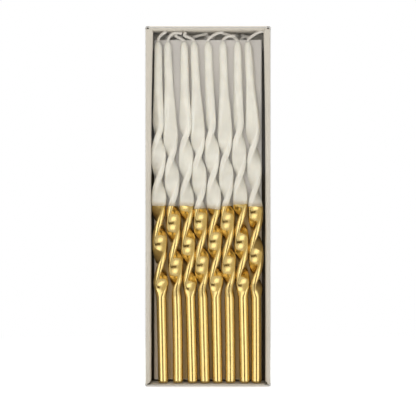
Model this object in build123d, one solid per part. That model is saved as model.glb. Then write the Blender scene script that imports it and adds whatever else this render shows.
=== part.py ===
from build123d import *
from dataclasses import dataclass
from math import ceil, cos, hypot, radians, sin, sqrt, tan
import os

# A boxed set of spiral birthday candles. The box stands on its short end: +Z runs from the candles'
# feet to their wicks, the open front faces -Y, and the origin is the middle of the base. All in mm.

# Candle: bare wax, before the gold dip
WAX_LENGTH = 159.8
SHANK_DIAMETER = 4.3
SHANK_LENGTH = 41.8
FOOT_ROUND = 0.8
BLADE_WIDTH = 6.7
BLADE_THICKNESS = 3.1
EDGE_BAND = 1.2
FACE_FLAT = 4.3
TWIST_LENGTH = 86.0
HALF_TURN = 20.7
SCOOP_LENGTH = 4.0
FLARE_LENGTH = 14.0
TAPER_DIAMETER = 4.8
TIP_DIAMETER = 3.3
TIP_SHOULDER = 2.2
TIP_END_DIAMETER = 2.3

# Gold dip and wick
COAT = 0.1
DIP_HEIGHT = 82.6
WICK_WIDTH = 1.1
WICK_ROOM = 5.0

# Facets: the twist is built from flat facets, finer in the row that shows
FRONT_STEP = 32.5
REAR_STEP = 72.0

# Rows of candles
ROW_CLEAR = 0.15
REAR_GAP = 0.25
FOOT_GAP = 0.1
SWAY_POWER = 1.6

# Card tray, card platform and film sleeve
CARD = 0.6
WALL = 2.7
RIM_INNER_RADIUS = 0.9
FOLD_RADIUS = 0.8
HEADROOM = 1.6
PLATFORM_GAP = 1.0
PLATFORM_LIP = 1.5
PLATFORM_SEAT = 0.05
MITRE_SLIT = 0.35
MITRE_INSET = 0.6
MITRE_OVERRUN = 0.5
CORNER_NOTCH = 0.9
FILM = 0.25
FILM_RADIUS = 0.6
SLEEVE_CLEAR = 0.2
SLEEVE_INSET = 0.5
SEAM_WIDTH = 8.0
SEAM_FROM_EDGE = 6.0


@dataclass
class Lie:
    """How one loose candle lies: lean as shares of the room, turn in degrees, wick as (along mm, rise share)."""
    foot: float
    tip: float
    turn: float
    dip: float
    drift: int
    wick: list


FRONT_ROW = [
    Lie(0.85, -0.11, -26, 0.0, -1, [(0.1, 0.22), (1.3, 0.60), (3.2, 0.86), (4.3, 1.0)]),
    Lie(1.10, -0.79, 60, 0.0, -1, [(0.1, 0.22), (1.8, 0.66), (4.2, 0.92), (6.1, 1.0)]),
    Lie(1.45, -0.25, -26, 0.0, 1, [(-0.3, 0.22), (-1.7, 0.62), (-4.1, 0.78), (-4.8, 1.0)]),
    Lie(1.05, -0.92, 58, -1.2, -1, [(-0.3, 0.18), (-3.1, 0.60), (-4.7, 0.84), (-4.9, 1.0)]),
    Lie(0.80, -0.97, -28, -1.4, -1, [(0.0, 0.30), (2.4, 0.80), (5.2, 0.98), (6.6, 1.0)]),
    Lie(0.68, -0.70, 60, 0.0, -1, [(0.2, 0.30), (2.1, 0.68), (4.5, 0.74), (5.9, 0.66)]),
    Lie(0.85, -0.45, -26, 0.7, 1, [(-0.1, 0.22), (-2.5, 0.74), (-5.8, 0.98), (-7.7, 1.0)]),
    Lie(0.08, -1.24, 52, -0.2, -1, [(0.0, 0.28), (2.6, 0.76), (5.6, 0.96), (7.2, 1.0)]),
]

REAR_ROW = [
    Lie(0.0, 0.22, 64, 0.0, -1, [(0.1, 0.25), (1.6, 0.66), (3.8, 0.84), (5.4, 0.8)]),
    Lie(0.2, 0.0, -26, 0.4, 1, [(0.2, 0.25), (2.0, 0.70), (4.4, 0.90), (6.0, 0.9)]),
    Lie(0.0, 0.11, 64, 0.0, -1, [(0.3, 0.25), (2.4, 0.78), (5.4, 0.98), (7.6, 1.0)]),
    Lie(0.1, 0.34, -26, -0.6, 1, [(0.1, 0.25), (1.8, 0.60), (3.8, 0.72), (5.2, 0.62)]),
    Lie(0.3, 0.0, 64, 0.0, -1, [(-0.2, 0.25), (-1.6, 0.62), (-3.2, 0.80), (-4.2, 0.9)]),
    Lie(0.1, 0.22, -26, 0.3, 1, [(0.2, 0.25), (1.7, 0.70), (3.4, 0.92), (4.4, 0.8)]),
    Lie(0.0, 0.0, 64, 0.0, -1, [(0.2, 0.25), (1.6, 0.74), (3.4, 0.70), (4.6, 0.5)]),
    Lie(0.2, -0.22, -26, -0.3, 1, [(-0.3, 0.25), (-1.5, 0.64), (-3.4, 0.88), (-4.8, 0.9)]),
]

# Sizes that follow from the ones above
PER_ROW = len(FRONT_ROW)
OCTAGON = tan(radians(22.5))
TWIST_END = SHANK_LENGTH + TWIST_LENGTH
COATED_HALF_WIDTH = BLADE_WIDTH / 2 + COAT
COATED_HALF_EDGE = EDGE_BAND / 2 + COAT
REACH = hypot(COATED_HALF_WIDTH, COATED_HALF_EDGE)
NEST_PITCH = sqrt(2) * (COATED_HALF_WIDTH + COATED_HALF_EDGE)
ROW_DEPTH = 2 * REACH

REAR_PITCH = NEST_PITCH + REAR_GAP
PLATFORM_INSIDE = (PER_ROW - 1) * REAR_PITCH + 2 * (REACH + ROW_CLEAR)
PLATFORM_WIDTH = PLATFORM_INSIDE + 2 * CARD
INNER_WIDTH = PLATFORM_WIDTH + 2 * PLATFORM_GAP
FRONT_PITCH = (INNER_WIDTH - 2 * (REACH + 2 * ROW_CLEAR)) / (PER_ROW - 1)

CANDLE_LENGTH = WAX_LENGTH + COAT
INNER_HEIGHT = FOOT_GAP + CANDLE_LENGTH + WICK_ROOM
TRAY_WIDTH = INNER_WIDTH + 2 * WALL
TRAY_HEIGHT = INNER_HEIGHT + 2 * WALL
TRAY_DEPTH = HEADROOM + 2 * ROW_DEPTH + 3 * ROW_CLEAR + 2 * CARD

SLEEVE_WALL = SLEEVE_CLEAR + FILM
OVERALL_DEPTH = TRAY_DEPTH + 2 * SLEEVE_WALL + FILM
RIM_Y = SLEEVE_WALL - OVERALL_DEPTH / 2
BACK_Y = RIM_Y + TRAY_DEPTH
FRONT_ROW_Y = RIM_Y + HEADROOM + REACH
PLATFORM_Y = FRONT_ROW_Y + REACH + ROW_CLEAR
REAR_ROW_Y = PLATFORM_Y + CARD + ROW_CLEAR + REACH
BASE_PANEL_Y = BACK_Y - CARD
FLOOR_Z = WALL
FOOT_Z = FLOOR_Z + FOOT_GAP

# Room between neighbours at each end, which the candles' lean takes up in part
FOOT_ROOM = FRONT_PITCH - SHANK_DIAMETER - 2 * COAT
TIP_ROOM = FRONT_PITCH - TIP_DIAMETER
WICK_RISE = WICK_ROOM - WICK_WIDTH
WICK_DRIFT = 1.3 * WICK_WIDTH


def smooth(share):
    """Ease a share between 0 and 1."""
    held = min(max(share, 0.0), 1.0)
    return held * held * (3 - 2 * held)


def between(low, high, share):
    return low + (high - low) * share


def sway(lie, height):
    """Sideways shift of a candle's axis: none at mid-length, growing towards its foot and its tip."""
    share = 2 * height / WAX_LENGTH - 1
    end = lie.tip * TIP_ROOM if share > 0 else lie.foot * FOOT_ROOM
    return end * abs(share) ** SWAY_POWER


def round_radius(height):
    """Radius of the rolled rod at a height, as it is outside the twist."""
    if height < FOOT_ROUND:
        return SHANK_DIAMETER / 2 - FOOT_ROUND * (1 - height / FOOT_ROUND)
    if height <= SHANK_LENGTH + SCOOP_LENGTH:
        return SHANK_DIAMETER / 2
    shoulder = WAX_LENGTH - TIP_SHOULDER
    if height <= shoulder:
        share = max(height - TWIST_END, 0.0) / (shoulder - TWIST_END)
        return between(TAPER_DIAMETER, TIP_DIAMETER, share) / 2
    return between(TIP_DIAMETER, TIP_END_DIAMETER, (height - shoulder) / TIP_SHOULDER) / 2


def section(lie, height, grow=0.0):
    """Eight-sided outline of a candle at a height: round in the shank and taper, a flat blade in the twist."""
    scoop = smooth((height - SHANK_LENGTH) / SCOOP_LENGTH)
    flare = smooth((TWIST_END - height) / FLARE_LENGTH)
    blade = scoop * flare
    radius = round_radius(height)
    width = between(radius, BLADE_WIDTH / 2, blade) + grow
    edge = between(OCTAGON * radius, EDGE_BAND / 2, blade) + OCTAGON * grow
    flat = between(OCTAGON * radius, FACE_FLAT / 2, blade) + OCTAGON * grow
    thickness = between(radius, BLADE_THICKNESS / 2, blade) + grow
    corner = [(width, -edge), (width, edge), (flat, thickness), (-flat, thickness)]
    outline = corner + [(-x, -y) for x, y in corner]
    twisted = min(max(height, SHANK_LENGTH), TWIST_END) - SHANK_LENGTH
    turn = radians(lie.turn + 180 * twisted / HALF_TURN)
    middle = sway(lie, height)
    return [
        Vector(middle + x * cos(turn) - y * sin(turn), x * sin(turn) + y * cos(turn), height)
        for x, y in outline
    ]


def spaced(low, high, step):
    """Heights from low up to, but not including, high, at most one step apart."""
    count = ceil((high - low) / step)
    return [low + (high - low) * i / count for i in range(count)]


def heights(lie, step_angle):
    """Heights of the outlines that a candle is built on, from its foot to its tip."""
    step = HALF_TURN * step_angle / 180
    dip = DIP_HEIGHT + lie.dip
    shoulder = WAX_LENGTH - TIP_SHOULDER
    return (
        [0.0, FOOT_ROUND]
        + spaced(SHANK_LENGTH, dip, step)
        + spaced(dip, TWIST_END, step)
        + [TWIST_END, (TWIST_END + shoulder) / 2, shoulder, WAX_LENGTH]
    )


def quad(a, b, c, d):
    """One flat face on four corners, or two triangles along the shorter diagonal where they are not in a plane."""
    normal = (b - a).cross(c - a)
    if abs(normal.normalized().dot(d - a)) < 1e-9:
        return [Face(Wire.make_polygon([a, b, c, d]))]
    if (c - a).length < (d - b).length:
        return [Face(Wire.make_polygon([a, b, c])), Face(Wire.make_polygon([a, c, d]))]
    return [Face(Wire.make_polygon([a, b, d])), Face(Wire.make_polygon([b, c, d]))]


def sides(outlines):
    """Side faces between outlines that follow each other."""
    faces = []
    for low, high in zip(outlines, outlines[1:]):
        for i, start in enumerate(low):
            j = (i + 1) % len(low)
            faces += quad(start, low[j], high[j], high[i])
    return faces


def skin(outlines):
    """Closed solid through a list of outlines."""
    ends = [Face(Wire.make_polygon(outlines[0])), Face(Wire.make_polygon(outlines[-1]))]
    return Solid(Shell(ends + sides(outlines)))


def wick(lie):
    """Square braided wick, from the foot of the wax up its axis and out into its bent free end."""
    inside = [Vector(sway(lie, WAX_LENGTH * i / 4), 0, WAX_LENGTH * i / 4) for i in range(5)]
    tip = inside[-1]
    drifts = [0.0, 0.6, 1.0, 1.0]
    free = [
        tip + Vector(along, lie.drift * share * WICK_DRIFT, rise * WICK_RISE)
        for (along, rise), share in zip(lie.wick, drifts)
    ]
    route = inside + free
    half = WICK_WIDTH / 2
    outlines = []
    for i, point in enumerate(route):
        ahead = (route[min(i + 1, len(route) - 1)] - route[max(i - 1, 0)]).normalized()
        if i == 0:
            ahead = Vector(0, 0, 1)
        across = Vector(0, 1, 0).cross(ahead).normalized()
        along = ahead.cross(across)
        outlines.append([
            point + across * (half * u) + along * (half * v)
            for u, v in ((1, 1), (-1, 1), (-1, -1), (1, -1))
        ])
    return skin(outlines)


def wax(lie, step_angle, wick_solid):
    """Wax body, bored for its wick."""
    return skin([section(lie, z) for z in heights(lie, step_angle)]) - wick_solid


def gold_coat(lie, step_angle):
    """Gold lacquer left by the dip: a thin cup over the lower half of the wax."""
    levels = [z for z in heights(lie, step_angle) if z <= DIP_HEIGHT + lie.dip]
    inner = [section(lie, z) for z in levels]
    outer = [section(lie, z, COAT) for z in levels]
    outer[0] = [point - Vector(0, 0, COAT) for point in outer[0]]
    rim = Face(Wire.make_polygon(outer[-1]), [Wire.make_polygon(inner[-1])])
    foot = [Face(Wire.make_polygon(outer[0])), Face(Wire.make_polygon(inner[0]))]
    return Solid(Shell(foot + [rim] + sides(outer) + sides(inner)))


def candle_row(name, lies, pitch, row_y, step_angle):
    """All candles of a row as named solids."""
    solids = {}
    for i, lie in enumerate(lies):
        place = Pos((i - (len(lies) - 1) / 2) * pitch, row_y, FOOT_Z + COAT)
        wick_solid = wick(lie)
        solids[f"{name}_wax_{i + 1}"] = place * wax(lie, step_angle, wick_solid)
        solids[f"{name}_gold_coat_{i + 1}"] = place * gold_coat(lie, step_angle)
        solids[f"{name}_wick_{i + 1}"] = place * wick_solid
    return solids


def block(width, height, y_front, y_back):
    """Upright block centred on the box, from one depth to another."""
    middle = Pos(0, (y_front + y_back) / 2, TRAY_HEIGHT / 2)
    return middle * Box(width, y_back - y_front, height)


def tray():
    """Folded card tray: a back panel and four hollow double walls with rolled rims and mitred corners."""
    shell = block(TRAY_WIDTH, TRAY_HEIGHT, RIM_Y, BACK_Y)
    shell -= block(INNER_WIDTH, INNER_HEIGHT, RIM_Y - 1, BASE_PANEL_Y)
    mouth = shell.faces().sort_by(Axis.Y)[0].inner_wires()[0].edges()
    shell = fillet(mouth, RIM_INNER_RADIUS)
    channel = block(TRAY_WIDTH - 2 * CARD, TRAY_HEIGHT - 2 * CARD, RIM_Y + CARD, BASE_PANEL_Y)
    core = block(INNER_WIDTH + 2 * CARD, INNER_HEIGHT + 2 * CARD, RIM_Y, BASE_PANEL_Y)
    shell -= channel - core
    seam_end = sqrt(2) * WALL + MITRE_OVERRUN
    seam_middle = (MITRE_INSET + seam_end) / 2
    for side in (-1, 1):
        for end in (-1, 1):
            corner = Pos(side * TRAY_WIDTH / 2, RIM_Y, TRAY_HEIGHT / 2 + end * TRAY_HEIGHT / 2)
            diagonal = corner * Rot(0, -45 * side * end, 0) * Pos(-side * seam_middle, 0, 0)
            shell -= diagonal * Box(seam_end - MITRE_INSET, 4 * CARD, MITRE_SLIT)
        top_corner = Pos(side * TRAY_WIDTH / 2, RIM_Y, TRAY_HEIGHT)
        shell -= top_corner * Rot(0, 45, 0) * Box(CORNER_NOTCH, 4 * CARD, CORNER_NOTCH)
    return shell


def platform():
    """Card platform between the two rows: a front panel with a flap folded back down each side."""
    depth = BASE_PANEL_Y - PLATFORM_SEAT - PLATFORM_Y
    length = FOOT_GAP + CANDLE_LENGTH + PLATFORM_LIP - PLATFORM_SEAT
    outer = Pos(0, PLATFORM_Y + depth / 2) * Rectangle(PLATFORM_WIDTH, depth)
    outer = fillet(outer.vertices().group_by(Axis.Y)[0], FOLD_RADIUS)
    inner = Pos(0, PLATFORM_Y + CARD + depth / 2) * Rectangle(PLATFORM_INSIDE, depth)
    inner = fillet(inner.vertices().group_by(Axis.Y)[0], FOLD_RADIUS - CARD)
    return extrude(Pos(0, 0, FLOOR_Z + PLATFORM_SEAT) * (outer - inner), length)


def sleeve():
    """Clear film sleeve round the tray, open at both ends, with a glued lap seam on the back."""
    width = TRAY_WIDTH + 2 * SLEEVE_CLEAR
    depth = TRAY_DEPTH + 2 * SLEEVE_CLEAR
    length = TRAY_HEIGHT - 2 * SLEEVE_INSET
    inner_radius = FILM_RADIUS - FILM
    wrap = RectangleRounded(width + 2 * FILM, depth + 2 * FILM, FILM_RADIUS)
    wrap -= RectangleRounded(width, depth, inner_radius)
    lap_x = width / 2 - SEAM_FROM_EDGE - SEAM_WIDTH / 2
    lap = Pos(lap_x, depth / 2 + 1.5 * FILM) * Rectangle(SEAM_WIDTH, FILM)
    middle_y = (RIM_Y + BACK_Y) / 2
    return extrude(Pos(0, middle_y, SLEEVE_INSET) * (wrap + lap), length)


def build():
    """Every piece of the set by its name."""
    solids = {"tray": tray(), "platform": platform(), "sleeve": sleeve()}
    solids |= candle_row("front", FRONT_ROW, FRONT_PITCH, FRONT_ROW_Y, FRONT_STEP)
    solids |= candle_row("rear", REAR_ROW, REAR_PITCH, REAR_ROW_Y, REAR_STEP)
    return solids


os.makedirs("parts", exist_ok=True)
for node, solid in build().items():
    export_step(solid, f"parts/{node}.step")
print(f"tray {TRAY_WIDTH:.1f} x {TRAY_DEPTH:.1f} x {TRAY_HEIGHT:.1f} mm, front pitch {FRONT_PITCH:.2f} mm")
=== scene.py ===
from collections import namedtuple
from math import cos, pi, radians, sin, sqrt

import bmesh
import bpy
from bpy.props import FloatProperty, FloatVectorProperty, IntProperty, PointerProperty
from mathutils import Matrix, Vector, noise


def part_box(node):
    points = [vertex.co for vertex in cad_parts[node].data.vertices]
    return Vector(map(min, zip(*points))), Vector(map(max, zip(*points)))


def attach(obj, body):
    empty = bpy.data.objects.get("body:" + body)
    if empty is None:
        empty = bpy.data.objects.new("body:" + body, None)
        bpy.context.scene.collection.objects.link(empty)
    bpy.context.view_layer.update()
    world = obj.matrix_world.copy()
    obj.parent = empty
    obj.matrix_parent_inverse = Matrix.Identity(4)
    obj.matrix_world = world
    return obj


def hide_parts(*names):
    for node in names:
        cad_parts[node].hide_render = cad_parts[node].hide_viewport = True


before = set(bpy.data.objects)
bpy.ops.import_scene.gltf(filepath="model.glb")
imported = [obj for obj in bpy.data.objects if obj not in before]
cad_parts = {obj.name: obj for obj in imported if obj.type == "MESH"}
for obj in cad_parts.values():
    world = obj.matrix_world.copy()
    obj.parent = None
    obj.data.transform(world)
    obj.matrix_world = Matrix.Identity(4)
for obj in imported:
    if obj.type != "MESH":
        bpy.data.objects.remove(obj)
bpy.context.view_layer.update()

bl_info = {
    "name": "Boxed spiral candles",
    "version": (1, 0, 0),
    "blender": (4, 5, 0),
    "location": "View3D > Sidebar > Candles",
    "description": "A card tray of twisted gold-dipped candles in a clear sleeve",
    "category": "Add Mesh",
}

MM = 0.001
WHITE = (1, 1, 1, 1)

# How each loose candle lies: shift of foot, middle and tip in mm, how early it leans towards foot and tip,
# turn in degrees, dip line offset and tilt in mm, pitting of the gold from 0 to 1, depth side of the wick,
# and the wick's free points as (along, rise) in mm.
Lie = namedtuple("Lie", "foot middle tip bow turn dip tilt grain drift wick")

FRONT_ROW = [
    Lie(1.55, -0.42, -0.75, (0.3, 1.0), -15, 0.0, 0.10, 0.25, -1.8,
        [(-0.1, 0.9), (0.6, 2.2), (2.3, 3.5), (3.7, 4.4)]),
    Lie(2.10, -0.30, -2.95, (1.0, -0.1), 78, 0.0, 0.05, 0.35, -1.2,
        [(0.3, 1.1), (1.6, 3.2), (4.1, 4.2), (6.8, 3.7)]),
    Lie(2.46, -0.19, -1.55, (0.4, 0.0), -8, 0.0, -0.10, 0.15, 0.4,
        [(-0.4, 0.6), (-2.6, 1.9), (-4.4, 2.8), (-3.4, 4.1)]),
    Lie(1.84, -0.38, -3.43, (0.1, -0.3), 70, -1.2, 0.15, 0.90, -1.0,
        [(-0.2, 0.7), (-2.6, 2.0), (-5.0, 2.6), (-3.9, 4.1)]),
    Lie(1.33, -0.29, -3.34, (0.1, 0.0), -28, -1.4, -0.30, 0.20, -1.5,
        [(0.0, 0.9), (2.4, 2.8), (5.2, 4.0), (7.3, 4.2)]),
    Lie(0.89, -0.66, -2.76, (0.7, 0.1), 70, 0.0, 0.10, 1.00, -1.0,
        [(0.2, 0.8), (1.6, 2.0), (3.6, 2.6), (5.6, 2.3)]),
    Lie(1.15, -0.85, -2.35, (0.4, 0.5), -26, 0.7, 0.20, 0.15, 0.8,
        [(-0.3, 0.9), (-2.6, 2.6), (-5.4, 3.6), (-7.3, 3.9)]),
    Lie(0.15, -0.30, -4.00, (1.0, -0.5), 30, -0.2, 0.05, 0.40, -2.4,
        [(0.3, 1.2), (2.6, 2.8), (5.4, 4.3), (7.8, 4.7)]),
]


def rear_lie(foot, tip, turn, dip, tilt, drift, wick):
    """Lie of a rear candle. Its middle is in place, and its bow and pitting are those of the whole row."""
    return Lie(foot, 0.0, tip, (0.0, -0.4), turn, dip, tilt, 0.3, drift, wick)


REAR_ROW = [
    rear_lie(0.0, 0.73, 64, 0.0, 0.1, -1, [(0.1, 0.98), (1.6, 2.57), (3.8, 3.28), (5.4, 3.12)]),
    rear_lie(0.41, 0.0, -26, 0.4, -0.1, 1, [(0.2, 0.98), (2.0, 2.73), (4.4, 3.51), (6.0, 3.51)]),
    rear_lie(0.0, 0.36, 64, 0.0, 0.2, -2.6, [(0.3, 0.9), (2.0, 2.6), (5.0, 3.3), (8.4, 4.0)]),
    rear_lie(0.20, 1.09, -26, -0.6, 0.1, 1, [(0.1, 0.98), (1.8, 2.34), (3.8, 2.81), (5.2, 2.42)]),
    rear_lie(0.61, 0.0, 64, 0.0, -0.1, -1, [(-0.2, 0.98), (-1.6, 2.42), (-3.2, 3.12), (-4.2, 3.51)]),
    rear_lie(0.20, 0.73, -26, 0.3, 0.1, 1, [(0.2, 0.98), (1.7, 2.73), (3.4, 3.59), (4.4, 3.12)]),
    rear_lie(0.0, 0.0, 64, 0.0, 0.1, -1, [(0.2, 0.98), (1.6, 2.89), (3.4, 2.73), (4.6, 1.95)]),
    rear_lie(0.41, -0.73, -26, -0.3, 0.2, 1, [(-0.3, 0.98), (-1.5, 2.50), (-3.4, 3.43), (-4.8, 3.51)]),
]

# Distance between candles and depth of each row, height of the candles' feet above the box's base, and what
# the rear row has of its own: a shift of its seeds and a coarser mesh.
FRONT_PITCH, FRONT_Y = 6.533 * MM, -3.670 * MM
REAR_PITCH, REAR_Y = 6.119 * MM, 4.270 * MM
FOOT_Z = 1.35 * MM
REAR_SEED, REAR_FINE = 20, 0.7


def length(name, description, millimetres):
    """Property for a length, with its default given in millimetres."""
    return FloatProperty(
        name=name, description=description, default=millimetres * MM, subtype="DISTANCE", unit="LENGTH",
    )


def colour(name, description, rgb):
    """Property for a colour, with its default given as linear red, green and blue."""
    return FloatVectorProperty(
        name=name, description=description, default=rgb, size=3, min=0.0, max=1.0, subtype="COLOR",
    )


def glow(name, description, strength):
    """Property for the brightness of a light."""
    return FloatProperty(name=name, description=description, default=strength, min=0.0, max=50.0)


class CandleSizes(bpy.types.PropertyGroup):
    """Sizes that every candle shares"""

    wax_length: length("Wax length", "From the foot to the tip of the wax", 162.2)
    shank_diameter: length("Shank diameter", "Round foot, before the gold", 4.65)
    shank_length: length("Shank length", "Round foot below the twist", 43.35)
    foot_round: length("Foot round", "Radius of the foot's lower edge", 1.1)
    blade_width: length("Blade width", "Twisted blade, edge to edge", 7.15)
    blade_thickness: length("Blade thickness", "Twisted blade, face to face", 3.0)
    face_flat: length("Face flat", "Face of the blade, between its round edges", 5.1)
    face_dish: length("Face dish", "Hollow of the blade's face", 0.10)
    edge_share: FloatProperty(
        name="Edge share", description="Share of the points that lie on the round edges",
        default=0.68, min=0.3, max=0.9,
    )
    twist_length: length("Twist length", "Part of the candle that is twisted", 78.4)
    twist_fade: length("Twist fade", "Half the height in which the twist comes to rest", 3.5)
    half_turn: length("Half turn", "Height in which the blade turns half round", 20.7)
    scoop_lead: length("Scoop lead", "How far the scoops start below the twist", 2.5)
    scoop_length: length("Scoop length", "From the round shank to the full blade", 6.5)
    flare_length: length("Flare length", "From the full blade to the round taper", 26.0)
    flare_rise: length("Flare rise", "How far the flare runs on above the twist", 22.0)
    taper_diameter: length("Taper diameter", "Round taper above the twist", 4.8)
    tip_diameter: length("Tip diameter", "Round taper below its shoulder", 3.6)
    tip_shoulder: length("Tip shoulder", "Height of the rounded tip", 4.4)
    coat: length("Coat", "Thickness of the gold lacquer", 0.1)
    dip_height: length("Dip height", "From the foot up to the edge of the gold", 84.15)
    dip_wave: length("Dip wave", "How far the edge of the gold wanders", 0.35)
    rear_slim: length("Rear slim", "How much narrower the blades of the closer rear row are", 0.55)
    sides: IntProperty(name="Sides", description="Points round a candle", default=44, min=12, max=128)
    rings: IntProperty(name="Rings", description="Outlines along a candle", default=380, min=60, max=800)


class WickSizes(bpy.types.PropertyGroup):
    """Sizes of the braided wicks"""

    strand: length("Strand", "Diameter of one strand", 0.80)
    spread: length("Spread", "From the wick's axis to a strand's axis", 0.35)
    lay: length("Lay", "Length in which the strands go once round", 3.4)
    step: length("Step", "Distance between rings along the wick", 0.34)
    drift: length("Drift", "How far a free end moves towards the front or back", 1.43)
    fray: FloatProperty(
        name="Fray", description="Opening of the strands at the cut end", default=0.35, min=0.0, max=2.0,
    )
    strands: IntProperty(name="Strands", description="Strands in a wick", default=3, min=2, max=6)


class BoxSizes(bpy.types.PropertyGroup):
    """Sizes of the card tray, the card platform and the film sleeve"""

    card: length("Card", "Thickness of the card", 0.6)
    wall: length("Wall", "Thickness of a hollow double wall", 2.7)
    outer_round: length("Outer round", "Rim's outer edge", 0.5)
    inner_round: length("Inner round", "Rim's inner edge", 1.4)
    mitre_gap: length("Mitre gap", "Slit between two rims at a corner", 0.30)
    mitre_depth: length("Mitre depth", "Depth of the slit at a corner", 1.6)
    corner_notch: length("Corner notch", "Cut-back of the rims at a corner", 1.4)
    side_lean: length("Side lean", "How far a side wall's inner face leans out at the rim", 0.3)
    top_lean: length("Top lean", "How far the top wall's inner face leans out at the rim", 0.5)
    bottom_lean: length("Bottom lean", "How far the feet push the bottom wall's inner face out", 1.9)
    thick_top: length("Thick top", "How much wider the side rims are at the top", 1.2)
    right_slim: length("Right slim", "How much narrower the right rim is", 0.3)
    wobble: length("Wobble", "Unevenness of the folded card", 0.07)
    fold_round: length("Fold round", "Radius of the platform's folds", 0.8)
    film: length("Film", "Thickness of the film", 0.25)


class Finishes(bpy.types.PropertyGroup):
    """Colours of the surfaces"""

    wax: colour("Wax", "Bare candle wax", (0.835, 0.805, 0.72))
    wax_stain: colour("Wax stain", "Wax stained by the edge of the gold", (0.58, 0.47, 0.30))
    gold: colour("Gold", "Gold lacquer", (0.645, 0.47, 0.16))
    gold_deep: colour("Deep gold", "Gold lacquer where it ran thick", (0.54, 0.36, 0.085))
    gold_sheen: colour("Gold sheen", "Gold lacquer seen at a slant", (0.95, 0.66, 0.20))
    card: colour("Card", "Pale face of the tray's card", (0.645, 0.592, 0.505))
    # Near-black core colour: raw card, and also the painted shade on the tray's inner faces deep in the box,
    # inside the back panel and in the corner notches.
    card_core: colour("Card core", "Raw card inside the walls", (0.085, 0.07, 0.045))
    platform: colour("Platform", "Face of the platform's card", (0.79, 0.755, 0.71))
    cut_edge: colour("Cut edge", "Cut edge of the platform's card", (0.74, 0.72, 0.67))
    # Brown that paints the gold's reflected light, and the shade between the shanks, on the platform.
    rub_off: colour("Rub-off", "Gold lacquer rubbed off on the platform", (0.47, 0.295, 0.075))
    wick: colour("Wick", "Waxed cotton", (0.80, 0.755, 0.685))
    floor: colour("Floor", "Studio floor", (0.80, 0.80, 0.80))


class Studio(bpy.types.PropertyGroup):
    """Camera and light"""

    view_width: length("View width", "Width of the picture at the candles", 197.6)
    view_height: length("View height", "Height of the picture's middle", 84.4)
    camera_distance: length("Camera distance", "From the box to the camera", 1000.0)
    panel_glow: glow("Panel glow", "Brightness of the two side panels", 2.45)
    fill_glow: glow("Fill glow", "Brightness of the fill beside the camera", 5.7)
    left_glow: glow("Left glow", "Brightness of the flood from the left", 0.65)
    right_glow: glow("Right glow", "Brightness of the flood from the right", 0.55)
    top_glow: glow("Top glow", "Brightness of the panel overhead", 2.2)
    back_glow: glow("Back glow", "Brightness of the fill behind the box", 1.6)
    ambient: glow("Ambient", "Brightness of the room on matt surfaces", 0.45)


def math_method(operation, swapped=False):
    """Method that adds one Math node, with the value as its first term or, swapped, as its last."""
    def method(self, *others):
        return self.maths(operation, *((*others, self) if swapped else (self, *others)))
    return method


class Value:
    """A socket of a node tree that works in Python sums: each sum adds its Math nodes to the tree."""

    def __init__(self, tree, socket=None):
        self.tree = tree
        self.socket = socket

    def feed(self, socket, term):
        """Link a value to a socket, or set the socket to a number, a colour or a setting."""
        if isinstance(term, Value):
            self.tree.links.new(term.socket, socket)
        else:
            socket.default_value = term

    def node(self, kind, sockets=None, out=0, **settings):
        """Any other node: its type, the values or links of its sockets, and its settings."""
        made = self.tree.nodes.new(kind)
        for name, setting in settings.items():
            setattr(made, name, setting)
        for key, term in (sockets or {}).items():
            self.feed(made.inputs[key], term)
        return Value(self.tree, made.outputs[out] if made.outputs else None)

    def maths(self, operation, *terms):
        return self.node("ShaderNodeMath", dict(enumerate(terms)), operation=operation)

    def vector(self, operation, sockets, out=0):
        return self.node("ShaderNodeVectorMath", sockets, out, operation=operation)

    def part(self, axis):
        """Coordinate of a place along an axis: 0, 1 or 2."""
        return self.node("ShaderNodeSeparateXYZ", {0: self}, out=axis)

    __add__, __radd__ = math_method("ADD"), math_method("ADD", swapped=True)
    __sub__, __rsub__ = math_method("SUBTRACT"), math_method("SUBTRACT", swapped=True)
    __mul__, __rmul__ = math_method("MULTIPLY"), math_method("MULTIPLY", swapped=True)
    __truediv__, __rtruediv__ = math_method("DIVIDE"), math_method("DIVIDE", swapped=True)
    __pow__, __rpow__ = math_method("POWER"), math_method("POWER", swapped=True)
    __abs__, root, sign = math_method("ABSOLUTE"), math_method("SQRT"), math_method("SIGN")
    sine, cosine = math_method("SINE"), math_method("COSINE")
    least, most, above = math_method("MINIMUM"), math_method("MAXIMUM"), math_method("GREATER_THAN")

    def ramp(self, low, high, shape="LINEAR"):
        """0 below low, 1 above high, and a straight or smooth rise between them."""
        limits = {"Value": self, "From Min": low, "From Max": high}
        return self.node("ShaderNodeMapRange", limits, interpolation_type=shape)

    def ease(self, low, high):
        return self.ramp(low, high, "SMOOTHSTEP")

    def mix(self, first, second):
        """Colour between two colours, by this share."""
        return self.node("ShaderNodeMix", {0: self, 6: first, 7: second}, out=2, data_type="RGBA")


def opaque(rgb, tone=1.0):
    """Colour made lighter or darker by a tone."""
    return (*(min(channel * tone, 1.0) for channel in rgb), 1.0)


def new_material(name):
    """Empty material, the value that its nodes start from, and the place on its object."""
    material = bpy.data.materials.new(name)
    material.use_nodes = True
    material.node_tree.nodes.clear()
    start = Value(material.node_tree)
    return material, start, start.node("ShaderNodeTexCoord", out="Object")


def cloud(place, scale, detail=2.0, roughness=0.5, stretch=None):
    """Noise of a size, as a share from 0 to 1, drawn out along an axis by a stretch."""
    if stretch:
        place = place.node("ShaderNodeMapping", {"Vector": place, "Scale": stretch})
    return place.node("ShaderNodeTexNoise", {
        "Vector": place, "Scale": scale, "Detail": detail, "Roughness": roughness,
    })


def raised(start, height, strength, distance):
    """Surface normal with a relief."""
    return start.node("ShaderNodeBump", {"Strength": strength, "Distance": distance, "Height": height})


def show(shader):
    """Finish a material with a shader."""
    shader.node("ShaderNodeOutputMaterial", {"Surface": shader})


def surface(start, sockets):
    """Finish a material with one Principled shader."""
    show(start.node("ShaderNodeBsdfPrincipled", sockets))


def stored(start, name):
    """A number that the mesh carries at each point."""
    return start.node("ShaderNodeAttribute", out="Fac", attribute_name=name)


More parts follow.
